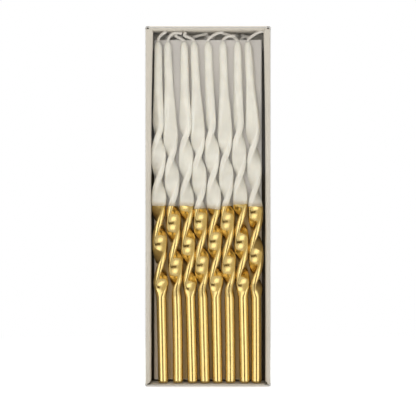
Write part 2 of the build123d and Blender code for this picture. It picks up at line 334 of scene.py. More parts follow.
def wax_material(finish):
    """Satin ivory wax, with drawn lines, cloudy patches, small nicks, and a tan stain above the gold."""
    material, start, place = new_material("candle_wax")
    patches = cloud(place, 160.0, 3.0)
    lines = cloud(place, 1500.0, 2.0, 0.6, stretch=(1.0, 1.0, 0.05))
    nicks = cloud(place, 900.0, 4.0, 0.65)
    above = stored(start, "above_dip")
    ragged = above + (cloud(place, 800.0, 2.0) - 0.5) * (1.6 * MM)
    stain = (1 - ragged.ease(0.0, 3 * MM)) ** 1.6
    pale = patches.ease(0.3, 0.7).mix(opaque(finish.wax, 0.95), opaque(finish.wax, 1.04))
    tinted = (lines.ease(0.35, 0.75) * 0.25).mix(pale, opaque(finish.wax, 0.86))
    shade = (stain * 0.75).mix(tinted, opaque(finish.wax_stain))
    relief = lines * 0.35 + nicks * 0.5 + patches * 0.6
    surface(start, {
        "Base Color": shade,
        "Roughness": 0.40 + 0.16 * patches,
        "Specular IOR Level": 0.42,
        "Subsurface Weight": 1.0,
        "Subsurface Radius": (1.0, 0.96, 0.90),
        "Subsurface Scale": 1.5 * MM,
        "Normal": raised(start, relief, 0.32, 0.12 * MM),
    })
    return material


def gold_material(finish):
    """Gold lacquer: streaks that ran down as it dried, pitted patches, and a deep tone where it is thick."""
    material, start, place = new_material("gold_lacquer")
    grain = stored(start, "grain")
    runs = cloud(place, 1100.0, 3.0, 0.6, stretch=(1.0, 1.0, 0.045))
    waves = cloud(place, 420.0, 2.0, 0.5, stretch=(1.0, 1.0, 0.35))
    pits = cloud(place, 1900.0, 2.0, 0.6)
    pools = cloud(place, 240.0, 2.0)
    thick = (pools * 0.6 + runs * 0.5).ease(0.45, 0.80)
    shade = (thick * 0.35).mix(opaque(finish.gold), opaque(finish.gold_deep))
    relief = runs * 0.30 + waves * (0.15 + 0.55 * grain) + pits * (0.08 + 0.55 * grain)
    surface(start, {
        "Base Color": shade,
        "Metallic": 1.0,
        "Roughness": 0.14 + 0.06 * runs + 0.12 * grain * pits,
        "Specular Tint": opaque(finish.gold_sheen),
        "Coat Weight": 1.0,
        "Coat Roughness": 0.08,
        "Sheen Weight": 0.35,
        "Sheen Roughness": 0.35,
        "Sheen Tint": opaque(finish.gold_sheen),
        "Normal": raised(start, relief, 0.20, 0.12 * MM),
    })
    return material


def card_material(name, face, core_and_shade, grain_axis, gold_bounce_paint=None):
    """Matt card: pale faces with fibres, rubbed folds, a raw core colour that also paints shade deep in the
    tray, and a painted gold reflection and shade lower down.
    """
    material, start, place = new_material(name)
    stretch = (0.12, 1.0, 1.0) if grain_axis == "X" else (1.0, 1.0, 0.12)
    fibres = cloud(place, 1300.0, 4.0, 0.7, stretch=stretch)
    specks = cloud(place, 2600.0, 2.0, 0.6)
    blotches = cloud(place, 55.0, 3.0)
    raw = stored(start, "raw")
    rubbed = stored(start, "rubbed")
    pale = blotches.ease(0.3, 0.7).mix(opaque(face, 0.965), opaque(face, 1.025))
    flecked = (fibres.ease(0.5, 0.8) * 0.25).mix(pale, opaque(face, 0.92))
    # Below the gold's top the face is painted brown in streaks, for the gold's reflected light and the shade
    # between the shanks, half as much near the sides.
    if gold_bounce_paint:
        tint, top, reach = gold_bounce_paint
        streaks = cloud(place, 900.0, 2.0, 0.6, stretch=(1.0, 1.0, 0.01))
        height, aside = place.part(2), abs(place.part(0))
        share = (1 - height.ease(top - 4 * MM, top + 3 * MM)) * (0.72 + 0.25 * streaks.ease(0.3, 0.7))
        share = share * (1 - 0.5 * aside.ease(reach - 3.6 * MM, reach - 2 * MM))
        flecked = share.mix(flecked, opaque(tint))
    worn = (rubbed * specks.ease(0.35, 0.7) * 0.5).mix(flecked, opaque(face, 1.18))
    # Dark core colour: raw card, and painted shade where the mask paints it.
    cut = specks.mix(opaque(core_and_shade, 0.8), opaque(core_and_shade, 1.25))
    surface(start, {
        "Base Color": raw.mix(worn, cut),
        "Roughness": 0.58 + 0.20 * fibres,
        "Specular IOR Level": 0.35,
        "Normal": raised(start, fibres * 0.7 + specks * 0.4, 0.22, 0.08 * MM),
    })
    return material


def wick_material(finish):
    """Waxed cotton strands: fine fibres along each strand, and a darker ground between them."""
    material, start, place = new_material("wick_cotton")
    fibres = cloud(place, 4200.0, 3.0, 0.65)
    soaked = cloud(place, 420.0, 2.0)
    shade = fibres.ease(0.25, 0.75).mix(opaque(finish.wick, 0.72), opaque(finish.wick, 1.10))
    surface(start, {
        "Base Color": (soaked * 0.4).mix(shade, opaque(finish.wax, 0.90)),
        "Roughness": 0.72 + 0.18 * fibres,
        "Specular IOR Level": 0.3,
        "Normal": raised(start, fibres, 0.6, 0.10 * MM),
    })
    return material


def film_material(low, high, film):
    """Clear film: what is behind shows, with a gloss that grows at a slant, rub marks and milky edges."""
    material, start, place = new_material("clear_film")
    back = high.y - film
    near = []
    for axis, (first, last) in enumerate(((low.x, high.x), (low.y, back), (low.z, high.z))):
        reach = (last - first) / 2
        near.append(abs(place.part(axis) - (first + reach)).ramp(reach - 2 * film, reach - film))
    lap = place.part(1).ramp(back + 0.3 * film, back + 0.5 * film)
    haze = near[2] * 0.45 + near[0] * near[1] * 0.22 + lap * 0.12
    facing = start.node("ShaderNodeLayerWeight", {"Blend": 0.5}, out="Facing")
    outside = 1 - start.node("ShaderNodeNewGeometry", out="Backfacing")
    ripple = cloud(place, 34.0, 2.0, 0.5)
    rubs = cloud(place, 700.0, 3.0, 0.7, stretch=(0.08, 1.0, 1.0))
    normal = raised(start, ripple, 0.10, 1.2 * MM)
    gloss = start.node("ShaderNodeBsdfGlossy", {
        "Color": (1.0, 1.0, 1.0, 1.0), "Roughness": 0.05, "Normal": normal,
    })
    clear = start.node("ShaderNodeBsdfTransparent", {"Color": (0.981, 0.981, 0.979, 1.0)})
    milky = start.node("ShaderNodeBsdfDiffuse", {"Color": (0.68, 0.68, 0.67, 1.0)})
    body = start.node("ShaderNodeMixShader", {0: haze + facing ** 6 * 0.05, 1: clear, 2: milky})
    slant = start.node("ShaderNodeFresnel", {"IOR": 1.45, "Normal": normal})
    share = (slant * 0.7 + rubs.ease(0.72, 0.85) * 0.012) * outside
    show(start.node("ShaderNodeMixShader", {0: share, 1: body, 2: gloss}))
    return material


def placed(name, data):
    """New object in the scene."""
    made = bpy.data.objects.new(name, data)
    bpy.context.scene.collection.objects.link(made)
    return made


def socket_name(prop):
    return prop.replace("_", " ").capitalize()


def new_tree(name, inputs, whole=()):
    """Geometry node tree with named number inputs, and the value that its nodes start from."""
    tree = bpy.data.node_groups.new(name, "GeometryNodeTree")
    tree.interface.new_socket("Geometry", in_out="INPUT", socket_type="NodeSocketGeometry")
    for title in inputs:
        kind = "NodeSocketInt" if title in whole else "NodeSocketFloat"
        tree.interface.new_socket(title, in_out="INPUT", socket_type=kind)
    tree.interface.new_socket("Geometry", in_out="OUTPUT", socket_type="NodeSocketGeometry")
    start = Value(tree)
    entry = tree.nodes.new("NodeGroupInput")
    given = {title: Value(tree, entry.outputs[title]) for title in ["Geometry", *inputs]}
    return tree, start, given


def close_tree(start, geometry, material):
    """End of a tree: smooth faces, real geometry instead of instances, and its material."""
    smooth = start.node("GeometryNodeSetShadeSmooth", {"Geometry": geometry})
    real = start.node("GeometryNodeRealizeInstances", {"Geometry": smooth})
    done = start.node("GeometryNodeSetMaterial", {"Geometry": real, "Material": material})
    exit_node = start.tree.nodes.new("NodeGroupOutput")
    start.tree.links.new(done.socket, exit_node.inputs["Geometry"])


def grown(obj, tree, numbers):
    """Run a tree on an object with these inputs, and keep the result as a plain mesh object at the origin."""
    modifier = obj.modifiers.new(tree.name, "NODES")
    modifier.node_group = tree
    for item in tree.interface.items_tree:
        if item.in_out == "INPUT" and item.name in numbers:
            modifier[item.identifier] = numbers[item.name]
    depsgraph = bpy.context.evaluated_depsgraph_get()
    mesh = bpy.data.meshes.new_from_object(obj.evaluated_get(depsgraph))
    if not mesh.polygons:
        raise RuntimeError(f"{obj.name}: its node tree made no faces")
    name, base = obj.name, obj.data
    obj.modifiers.clear()
    bpy.data.objects.remove(obj)
    (bpy.data.curves if isinstance(base, bpy.types.Curve) else bpy.data.meshes).remove(base)
    mesh.name = name
    return placed(name, mesh)


# Sizes that the trees take as inputs, how full a rounded tip is, and how much closer a skin's rings are at
# its ends.
CANDLE_PROPS = [prop for prop in CandleSizes.__annotations__ if prop != "rear_slim"]
WICK_PROPS = [prop for prop in WickSizes.__annotations__ if prop != "drift"]
TIP_FULLNESS = 2.2
CROWDING = 0.45


def outline(given, rod, blade, angle):
    """Point of a candle's outline at an angle: a round rod, or a bar with round edges and dished faces."""
    half_width = given["Blade width"] / 2
    half_thick = given["Blade thickness"] / 2
    half_flat = given["Face flat"] / 2
    round_x, round_y = angle.cosine(), angle.sine()
    fold = angle.maths("ARCTAN2", abs(round_y), abs(round_x))
    bend = (fold / given["Edge share"]).least(pi / 2)
    edge = given["Edge share"] * (pi / 2)
    inward = ((fold - edge) / (pi / 2 - edge)).most(0.0)
    flat_x = half_flat * (1 - inward) + (half_width - half_flat) * bend.cosine()
    flat_y = half_thick * bend.sine() - given["Face dish"] * inward * (2 - inward)
    flat_x, flat_y = flat_x * round_x.sign(), flat_y * round_y.sign()
    x, y = rod * round_x, rod * round_y
    return x + (flat_x - x) * blade, y + (flat_y - y) * blade


def skin_point(given, height, angle, grow):
    """Point on a candle's skin at a height and an angle, and how far the candle sways there."""
    twist_end = given["Shank length"] + given["Twist length"]
    shoulder = given["Wax length"] - given["Tip shoulder"]
    scoop_foot = given["Shank length"] - given["Scoop lead"]
    scoop = height.ramp(scoop_foot, scoop_foot + given["Scoop length"])
    flare_end = twist_end + given["Flare rise"]
    flare = 1 - height.ease(flare_end - given["Flare length"], flare_end)
    blade = scoop * flare

    shank = given["Shank diameter"] / 2
    taper = given["Taper diameter"] / 2
    tapered = taper + (given["Tip diameter"] / 2 - taper) * height.ramp(twist_end, shoulder)
    rod = shank + (tapered - shank) * height.ease(given["Shank length"], twist_end)
    below = 1 - height.ramp(0.0, given["Foot round"])
    rod = rod - given["Foot round"] * (1 - (1 - below * below).most(0.0).root())
    dome = height.ramp(shoulder, given["Wax length"])
    rod = rod * (1 - dome ** TIP_FULLNESS).most(0.0).root()

    across, through = outline(given, rod, blade, angle)
    reach = (across * across + through * through).root().most(1e-7)
    across = across * (1 + grow / reach)
    through = through * (1 + grow / reach)

    fade = given["Twist fade"]
    rest = height.ramp(twist_end - fade, twist_end + fade)
    turned = (height - given["Shank length"]).most(0.0).least(given["Twist length"] + fade)
    turn = given["Turn"] + (turned - fade * rest * rest) * pi / given["Half turn"]
    share = height * 2 / given["Wax length"] - 1
    upper = share.above(0.0)
    end = given["Foot shift"] + (given["Tip shift"] - given["Foot shift"]) * upper
    bow = given["Foot bow"] + (given["Tip bow"] - given["Foot bow"]) * upper
    run = abs(share)
    sway = given["Middle shift"] + (end - given["Middle shift"]) * (run + bow * run * (1 - run))
    x = across * turn.cosine() - through * turn.sine()
    y = across * turn.sine() + through * turn.cosine()
    return x, y, sway


def dip_line(given, angle):
    """Height of the gold's edge at an angle round a candle."""
    reach, apart = 0.9, 3.7
    ring = angle.node("ShaderNodeCombineXYZ", {
        0: angle.cosine() * reach, 1: angle.sine() * reach, 2: given["Seed"] * apart,
    })
    wander = angle.node("ShaderNodeTexNoise", {"Vector": ring, "Scale": 1.6, "Detail": 2.0})
    wave = (wander - 0.5) * 2 * given["Dip wave"]
    return given["Dip height"] + given["Dip offset"] + wave + given["Dip tilt"] * angle.cosine()


def skin_tree(name, material, shape):
    """Tree of one closed skin: a grid rolled round a candle, whose rows run where the shape function says."""
    inputs = [*map(socket_name, CANDLE_PROPS), *lie_numbers(FRONT_ROW[0], 0, 0.0, 0.0)]
    tree, start, given = new_tree(name, inputs, whole=("Sides", "Rings"))
    grid = start.node("GeometryNodeMeshGrid", {
        "Size X": 1.0, "Size Y": 1.0, "Vertices X": given["Sides"] + 1, "Vertices Y": given["Rings"],
    })
    spot = start.node("GeometryNodeInputPosition")
    angle = (spot.part(0) + 0.5) * (2 * pi)
    along = spot.part(1) + 0.5
    height, low, grow, above = shape(given, along, angle)
    x, y, sway = skin_point(given, height, angle, grow)
    first_row, last_row = 1e-5, 1 - 1e-5
    open_rows = along.above(first_row) * (1 - along.above(last_row))
    place = start.node("ShaderNodeCombineXYZ", {
        0: x * open_rows + sway + given["Middle x"],
        1: y * open_rows + given["Row y"],
        2: height - low + given["Foot z"],
    })
    for title, number in (("above_dip", above), ("grain", given["Grain"])):
        grid = start.node("GeometryNodeStoreNamedAttribute", {
            "Geometry": grid, "Name": title, "Value": number,
        })
    rolled = start.node("GeometryNodeSetPosition", {"Geometry": grid, "Position": place})
    closed = start.node("GeometryNodeMergeByDistance", {"Geometry": rolled, "Distance": 2e-7})
    close_tree(start, closed, material)
    return tree


def crowded(share, amount):
    """Share from 0 to 1 with its steps smaller near both ends."""
    return share - (share * (2 * pi)).sine() * (amount / (2 * pi))


def wax_shape(given, along, angle):
    """Wax from its foot to its tip."""
    height = crowded(along, CROWDING) * given["Wax length"]
    return height, 0.0, 0.0, height - dip_line(given, angle)


def coat_shape(given, along, angle):
    """Gold from its foot up the outside to the dip line, over the edge, and back down against the wax."""
    turn_back, lip_height, seat = 0.72, 0.6 * MM, 0.2
    outside = crowded((along / turn_back).least(1.0), CROWDING)
    inside = ((1 - along) / (1 - turn_back)).least(1.0)
    inner = along.above(turn_back)
    share = outside + (inside - outside) * inner
    top = dip_line(given, angle)
    height = share * top
    lip = (top - height).ramp(0.0, lip_height).root()
    grow = given["Coat"] * (seat + ((1 - seat) * lip) * (1 - inner))
    low = grow * (1 - height.ramp(0.0, given["Foot round"]))
    return height, low, grow, height - top


def lie_numbers(lie, seed, middle_x, row_y):
    """Inputs that say how and where a candle lies."""
    return {
        "Turn": radians(lie.turn), "Foot shift": lie.foot * MM, "Middle shift": lie.middle * MM,
        "Tip shift": lie.tip * MM, "Foot bow": lie.bow[0], "Tip bow": lie.bow[1],
        "Dip offset": lie.dip * MM, "Dip tilt": lie.tilt * MM, "Grain": lie.grain, "Seed": float(seed),
        "Middle x": middle_x, "Row y": row_y, "Foot z": FOOT_Z,
    }


def candle_numbers(sizes, lie, seed, middle_x, row_y, fine):
    """Inputs of one candle's trees."""
    numbers = {socket_name(prop): getattr(sizes, prop) for prop in CANDLE_PROPS}
    if row_y > 0:
        numbers["Blade width"] -= sizes.rear_slim
        numbers["Face flat"] -= sizes.rear_slim
    numbers["Rings"] = int(sizes.rings * fine)
    numbers["Sides"] = 4 * int(sizes.sides * fine / 4)
    return numbers | lie_numbers(lie, seed, middle_x, row_y)


def every_candle():
    """Row name, number, lie, middle, depth and mesh fineness of each candle, front row first."""
    for row, lies, pitch, y, fine in (
        ("front", FRONT_ROW, FRONT_PITCH, FRONT_Y, 1.0), ("rear", REAR_ROW, REAR_PITCH, REAR_Y, REAR_FINE),
    ):
        for i, lie in enumerate(lies):
            yield row, i + 1, lie, (i - (len(lies) - 1) / 2) * pitch, y, fine


def mount(piece, node, body="tray"):
    """Let a piece stand for a CAD node and ride on its body."""
    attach(piece, body)
    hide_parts(node)


def empty_mesh(name):
    return placed(name, bpy.data.meshes.new(name))


def dress_candles(scene, tree, skin, node):
    """Grow one skin on every candle, in place of its CAD node."""
    for row, number, lie, x, y, fine in every_candle():
        seed = number if row == "front" else number + REAR_SEED
        numbers = candle_numbers(scene.candle_sizes, lie, seed, x, y, fine)
        piece = grown(empty_mesh(f"{row}_{skin}_{number}"), tree, numbers)
        mount(piece, f"{row}_{node}_{number}")


class CANDLES_OT_wax(bpy.types.Operator):
    """Make the twisted wax of every candle"""

    bl_idname = "candles.wax"
    bl_label = "Wax"

    def execute(self, context):
        scene = context.scene
        tree = skin_tree("Twisted wax", wax_material(scene.finishes), wax_shape)
        dress_candles(scene, tree, "candle", "wax")
        return {"FINISHED"}


class CANDLES_OT_gold(bpy.types.Operator):
    """Make the gold coat on the lower half of every candle"""

    bl_idname = "candles.gold"
    bl_label = "Gold coats"

    def execute(self, context):
        scene = context.scene
        tree = skin_tree("Gold coat", gold_material(scene.finishes), coat_shape)
        dress_candles(scene, tree, "coat", "gold_coat")
        return {"FINISHED"}


# How far a wick's foot stands inside the wax, and how much of its drift each free point has.
WICK_FOOT = 0.6 * MM
DRIFT_SHARES = (0.0, 0.6, 1.0, 1.0)


def wick_route(tall, drift, lie, middle_x, row_y):
    """Points of one wick: up the axis of the wax, then out into the bent free end."""
    points = []
    for i in range(5):
        share = i / 2 - 1
        end, bow = (lie.tip, lie.bow[1]) if share > 0 else (lie.foot, lie.bow[0])
        run = abs(share)
        sway = lie.middle + (end - lie.middle) * (run + bow * run * (1 - run))
        points.append(Vector((sway * MM, 0, tall * i / 4)))
    points[0].z = WICK_FOOT
    tip = points[-1].copy()
    for (along, rise), share in zip(lie.wick, DRIFT_SHARES):
        points.append(tip + Vector((along * MM, lie.drift * share * drift, rise * MM)))
    return [point + Vector((middle_x, row_y, FOOT_Z)) for point in points]


def wick_tree(material):
    """Tree of a braided wick: strands wound round a route, opening a little at the cut end."""
    tree, start, given = new_tree("Braided wick", [*map(socket_name, WICK_PROPS)], whole=("Strands",))
    spaced = {"Curve": given["Geometry"], "Length": given["Step"]}
    path = start.node("GeometryNodeResampleCurve", spaced, mode="LENGTH")
    copies = tree.nodes.new("GeometryNodeDuplicateElements")
    copies.domain = "SPLINE"
    start.feed(copies.inputs["Geometry"], path)
    start.feed(copies.inputs["Amount"], given["Strands"])
    strand = Value(tree, copies.outputs["Duplicate Index"])
    run = start.node("GeometryNodeSplineParameter", out="Length")
    share = start.node("GeometryNodeSplineParameter", out="Factor")
    normal = start.node("GeometryNodeInputNormal")
    tangent = start.node("GeometryNodeInputTangent")
    side = start.vector("CROSS_PRODUCT", {0: tangent, 1: normal})
    wind = (run / given["Lay"] + strand / given["Strands"]) * (2 * pi)
    reach = given["Spread"] * (1 + given["Fray"] * share.ease(0.985, 1.0))
    out = start.vector("SCALE", {0: normal, "Scale": reach * wind.cosine()})
    over = start.vector("SCALE", {0: side, "Scale": reach * wind.sine()})
    offset = start.vector("ADD", {0: out, 1: over})
    wound = start.node("GeometryNodeSetPosition", {
        "Geometry": Value(tree, copies.outputs["Geometry"]), "Offset": offset,
    })
    ring = start.node("GeometryNodeCurvePrimitiveCircle", {
        "Resolution": 7, "Radius": given["Strand"] / 2,
    })
    tube = start.node("GeometryNodeCurveToMesh", {
        "Curve": wound, "Profile Curve": ring, "Fill Caps": True,
    })
    close_tree(start, tube, material)
    return tree


class CANDLES_OT_wicks(bpy.types.Operator):
    """Make the braided wick of every candle"""

    bl_idname = "candles.wicks"
    bl_label = "Wicks"

    def execute(self, context):
        scene = context.scene
        sizes = scene.wick_sizes
        tree = wick_tree(wick_material(scene.finishes))
        numbers = {socket_name(prop): getattr(sizes, prop) for prop in WICK_PROPS}
        for row, number, lie, x, y, _ in every_candle():
            route = wick_route(scene.candle_sizes.wax_length, sizes.drift, lie, x, y)
            curve = bpy.data.curves.new(f"{row}_braid_{number}", "CURVE")
            curve.dimensions = "3D"
            spline = curve.splines.new("NURBS")
            spline.points.add(len(route) - 1)
            for point, place in zip(spline.points, route):
                point.co = (*place, 1.0)
            spline.order_u = 3
            spline.use_endpoint_u = True
            spline.resolution_u = 24
            piece = grown(placed(curve.name, curve), tree, numbers)
            mount(piece, f"{row}_wick_{number}")
        return {"FINISHED"}


class Sheetwork:
    """Folded card as a mesh: closed strips of card, with how much dark core colour each point has, for raw
    card and for painted shade, and how rubbed it is.
    """

    # Seed and closeness of the dents, how much finer the small ones are and how deep beside the others, the
    # angle from which a fold is sharp, and the distance at which two points are one.
    seed, dents, finer, finer_depth = 5, 38.0, 4.1, 0.25
    sharp_fold, one_point = radians(50), 1e-7

    def __init__(self, wobble, floor, ceiling):
        noise.seed_set(self.seed)
        self.mesh = bmesh.new()
        self.raw = self.mesh.verts.layers.float.new("raw")
        self.rubbed = self.mesh.verts.layers.float.new("rubbed")
        self.wobble = wobble
        self.floor, self.ceiling = floor, ceiling

    def point(self, place, raw=0.0, rubbed=0.0):
        """One point of the card, moved a little so that no face is flat, but not past floor or ceiling."""
        place = Vector(place)
        spot = place * self.dents
        fine = noise.noise_vector(spot * self.finer) * (self.wobble * self.finer_depth)
        place += noise.noise_vector(spot) * self.wobble + fine
        place.z = min(max(place.z, self.floor), self.ceiling)
        made = self.mesh.verts.new(place)
        made[self.raw] = raw
        made[self.rubbed] = rubbed
        return made

    def strip(self, outer, inner, rows):
        """Closed strip of card from an outer and an inner path, each a function of a row."""
        faces = self.mesh.faces
        outside = [outer(row) for row in rows]
        inside = [inner(row) for row in rows]
        for low, high, low_in, high_in in zip(outside, outside[1:], inside, inside[1:]):
            for j in range(len(low) - 1):
                faces.new((low[j], low[j + 1], high[j + 1], high[j]))
                faces.new((low_in[j + 1], low_in[j], high_in[j], high_in[j + 1]))
            faces.new((low_in[0], low[0], high[0], high_in[0]))
            faces.new((low[-1], low_in[-1], high_in[-1], high[-1]))
        for face_row, inner_row, flip in ((outside[0], inside[0], 1), (outside[-1], inside[-1], -1)):
            for j in range(len(face_row) - 1):
                loop = (face_row[j + 1], face_row[j], inner_row[j], inner_row[j + 1])
                faces.new(loop[::flip])

    def finish(self, name, material, node, slot):
        """Mesh object of the card, mounted in place of its CAD node."""
        bmesh.ops.remove_doubles(self.mesh, verts=self.mesh.verts, dist=self.one_point)
        bmesh.ops.recalc_face_normals(self.mesh, faces=self.mesh.faces)
        made = empty_mesh(name)
        self.mesh.to_mesh(made.data)
        self.mesh.free()
        made.data.materials.append(material)
        made.data.shade_smooth()
        made.data.set_sharp_from_angle(angle=self.sharp_fold)
        mount(made, node)


def arc(centre, radius, start, end, steps):
    """Points on a quarter fold, angles in degrees."""
    for i in range(steps + 1):
        angle = radians(start + (end - start) * i / steps)
        yield centre[0] + radius * cos(angle), centre[1] + radius * sin(angle)


def wall_paths(box, rim_y, foot_y, lean):
    """Outer and inner path of a rolled double wall, as (distance in from the outside, depth) pairs."""
    card, wall, crown = box.card, box.wall - lean, 0.02 * MM
    # A slim wall has tighter folds.
    ro, ri = min(box.outer_round, wall * 0.35), min(box.inner_round, wall * 0.5)
    outer = [(0.0, foot_y), (0.0, (foot_y + rim_y) / 2), (0.0, rim_y + 4 * ro), (0.0, rim_y + 1.5 * ro)]
    outer += arc((ro, rim_y + ro), ro, 180, 270, 5)
    outer += [(wall * 0.45, rim_y - crown)]
    outer += arc((wall - ri, rim_y + ri), ri, 270, 350, 7)
    low_y = rim_y + 2 * ri
    for share in (0.25, 0.5, 0.75, 1.0):
        outer.append((wall + lean * share ** 1.2, low_y + (foot_y - low_y) * share))
    inner = []
    for d, y in outer:
        inner.append((min(max(d, card), max(d - card, card)), max(y, rim_y + card)))
    return outer, inner


# Gap where two walls of the tray meet below their mitre, how much of the corner notch the upper and lower
# corners have, and the rubbed strips of the rims. How much painted shade, in the dark core colour, the top
# wall's inner face and the back panel's top get, and how tall that top is. Rows and columns of points.
BUTT_GAP = 0.03 * MM
UPPER_WEAR, LOWER_WEAR = 1.0, 0.15
OUTER_RUB, INNER_RUB = 0.5 * MM, 0.6 * MM
TOP_WALL_PAINTED_SHADE, TOP_PANEL_PAINTED_SHADE, TOP_PANEL = 0.3, 0.25, 9 * MM
SIDE_ROWS, END_ROWS, PANEL_ROWS, PANEL_COLUMNS = 70, 26, 60, 20


class CANDLES_OT_tray(bpy.types.Operator):
    """Make the folded card tray: four rolled walls, mitred at the corners, and a back panel"""

    bl_idname = "candles.tray"
    bl_label = "Tray"

    def execute(self, context):
        box = context.scene.box_sizes
        finish = context.scene.finishes
        low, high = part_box("tray")
        rim_y, back_y = low.y, high.y
        panel_y = back_y - box.card
        platform_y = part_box("platform")[0].y
        work = Sheetwork(box.wobble, low.z, high.z)
        width, tall = high.x - low.x, high.z - low.z

        def cut_back(d, y, wear):
            """How far a wall's end stands back from a corner, where wear is how much of the notch it has."""
            if y > rim_y + box.mitre_depth:
                return d + BUTT_GAP
            notch = wear * box.corner_notch * max(0.0, 1 - d / (2 * box.card))
            return d + box.mitre_gap / sqrt(2) + notch

        def wall_row(path, side, raw):
            """Maker of a row of a wall's points at a share of its length."""
            def row(share):
                verts = []
                for d, y in path:
                    top_back, low_back = cut_back(d, y, UPPER_WEAR), cut_back(d, y, LOWER_WEAR)
                    # Inner faces deeper than the platform's front are painted dark as shade, the top wall's
                    # less so.
                    bare_and_shade = raw
                    if d > box.wall / 2 and y > rim_y + 2 * box.inner_round:
                        bare_and_shade = max(raw, 0.0 if y < platform_y else TOP_WALL_PAINTED_SHADE if side == "top" else 1.0)
                    on_fold = d < OUTER_RUB or d > box.wall - INNER_RUB
                    rub = 1.0 if on_fold and y < rim_y + INNER_RUB else 0.0
                    if side in ("left", "right"):
                        sign = -1 if side == "left" else 1
                        upper = max(0.0, share - 0.5) * 2
                        shallow = max(0.0, 1 - (y - rim_y) / (3 * box.wall))
                        if d > box.wall / 2:
                            d += box.thick_top * upper * upper * shallow
                            d -= box.right_slim if side == "right" else 0.0
                        x = sign * (width / 2 - d)
                        z = low.z + low_back + (tall - low_back - top_back) * share
                    else:
                        back = top_back if side == "top" else low_back
                        x = -width / 2 + back + (width - 2 * back) * share
                        z = low.z + d if side == "bottom" else high.z - d
                    verts.append(work.point((x, y, z), bare_and_shade, rub))
                return verts
            return row

        for side, count, lean in (
            ("left", SIDE_ROWS, box.side_lean), ("right", SIDE_ROWS, box.side_lean),
            ("top", END_ROWS, box.top_lean), ("bottom", END_ROWS, box.bottom_lean),
        ):
            rows = [i / count for i in range(count + 1)]
            outer, inner = wall_paths(box, rim_y, panel_y, lean)
            work.strip(wall_row(outer, side, 0.0), wall_row(inner, side, 1.0), rows)

        edge = box.outer_round * 0.6
        panel = [(-width / 2, panel_y), (-width / 2, back_y - edge), (-width / 2 + edge, back_y)]
        for i in range(1, PANEL_COLUMNS):
            panel.append((-width / 2 + edge + (width - 2 * edge) * i / PANEL_COLUMNS, back_y))
        panel += [(width / 2 - edge, back_y), (width / 2, back_y - edge), (width / 2, panel_y)]

        def panel_row(z):
            return [work.point((x, y, z)) for x, y in panel]

        def panel_inside(z):
            # The back panel's inside is painted dark as shade, less so in its top part.
            raw = TOP_PANEL_PAINTED_SHADE if z > high.z - TOP_PANEL else 1.0
            return [work.point((x, panel_y + 0.01 * MM, z), raw) for x, _ in panel]

        steps = [low.z + tall * i / PANEL_ROWS for i in range(PANEL_ROWS + 1)]
        work.strip(panel_row, panel_inside, steps)
        for sign_x in (-1, 1):
            for z in (low.z + box.wall / 2, high.z - box.wall / 2):
                self.flap(work, sign_x * (width / 2 - box.wall / 2), z, rim_y + 2.4 * box.card, box)
        material = card_material("tray_card", finish.card, finish.card_core, "Z")
        work.finish("tray_card", material, "tray", "tray_card")
        return {"FINISHED"}

    def flap(self, work, x, z, y, box):
        """Folded corner flap of raw card inside the walls, which shows through the mitre. Its dark core
        colour also paints the shade in the corner notch.
        """
        reach = box.wall / 2 - box.card * 0.7
        def side(depth):
            def row(step):
                return [work.point((x + reach * u, depth, z + reach * step), 1.0) for u in (-1, 0, 1)]
            return row
        work.strip(side(y), side(y + box.card), [-1, 0, 1])


class CANDLES_OT_platform(bpy.types.Operator):
    """Make the folded card platform under the front row"""

    bl_idname = "candles.platform"
    bl_label = "Platform"

    def execute(self, context):
        box = context.scene.box_sizes
        finish = context.scene.finishes
        low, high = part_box("platform")
        half = (high.x - low.x) / 2
        fold, card, cut, flatter = box.fold_round, box.card, 0.3 * MM, 0.7
        columns, rings = 24, 64
        outer = [(-half, high.y), (-half, (low.y + high.y) / 2)]
        outer += arc((-half + fold, low.y + fold), fold, 180, 270, 6)
        for i in range(1, columns):
            outer.append((-half + fold + (2 * half - 2 * fold) * i / columns, low.y))
        outer += arc((half - fold, low.y + fold), fold, 270, 360, 6)
        outer += [(half, (low.y + high.y) / 2), (half, high.y)]
        inner = [(max(min(x, half - card), -half + card), max(y, low.y + card)) for x, y in outer]
        tall = high.z - low.z + cut
        work = Sheetwork(box.wobble * flatter, low.z, low.z + tall)
        rows = [0.0, cut, *(tall * i / rings for i in range(1, rings)), tall - cut, tall]

        def row(path):
            """Maker of a row of points along a path, raw at the two cut ends."""
            def made(step):
                raw = 1.0 if step in (0.0, tall) else 0.0
                return [work.point((x, y, low.z + step), raw) for x, y in path]
            return made

        work.strip(row(outer), row(inner), rows)
        # The platform gets a painted gold reflection and shade up to the gold's top.
        gold_top = FOOT_Z + context.scene.candle_sizes.dip_height
        gold_bounce_paint = finish.rub_off, gold_top, half
        material = card_material("platform_card", finish.platform, finish.cut_edge, "X", gold_bounce_paint)
        work.finish("platform_fold", material, "platform", "platform_card")
        return {"FINISHED"}


class CANDLES_OT_sleeve(bpy.types.Operator):
    """Give the clear sleeve its film"""

    bl_idname = "candles.sleeve"
    bl_label = "Sleeve"

    def execute(self, context):
        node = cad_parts["sleeve"]
        film = film_material(*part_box("sleeve"), context.scene.box_sizes.film)
        node.data.materials.clear()
        node.data.materials.append(film)
        return {"FINISHED"}


# Place in the box that the lights and the reflected cards face.
AIM = Vector((0, 0, 0.085))


def studio_panel(name, place, size, glow):
    """Soft light panel that faces the box, and that neither the camera nor gloss sees."""
    lamp = bpy.data.lights.new(name, "AREA")
    lamp.shape = "RECTANGLE"
    lamp.size, lamp.size_y = size
    lamp.energy = glow * pi * size[0] * size[1]
    panel = placed(name, lamp)
    panel.location = place
    panel.rotation_mode = "QUATERNION"
    panel.rotation_quaternion = (AIM - Vector(place)).to_track_quat("-Z", "Y")
    panel.visible_camera = panel.visible_glossy = False


def seen_directly(start):
    """1 for rays from the camera, from gloss and through film, and 0 for light on matt surfaces."""
    camera, gloss, through = (
        start.node("ShaderNodeLightPath", out=f"Is {ray} Ray") for ray in ("Camera", "Glossy", "Transmission")
    )
    return camera.most(gloss).most(through)


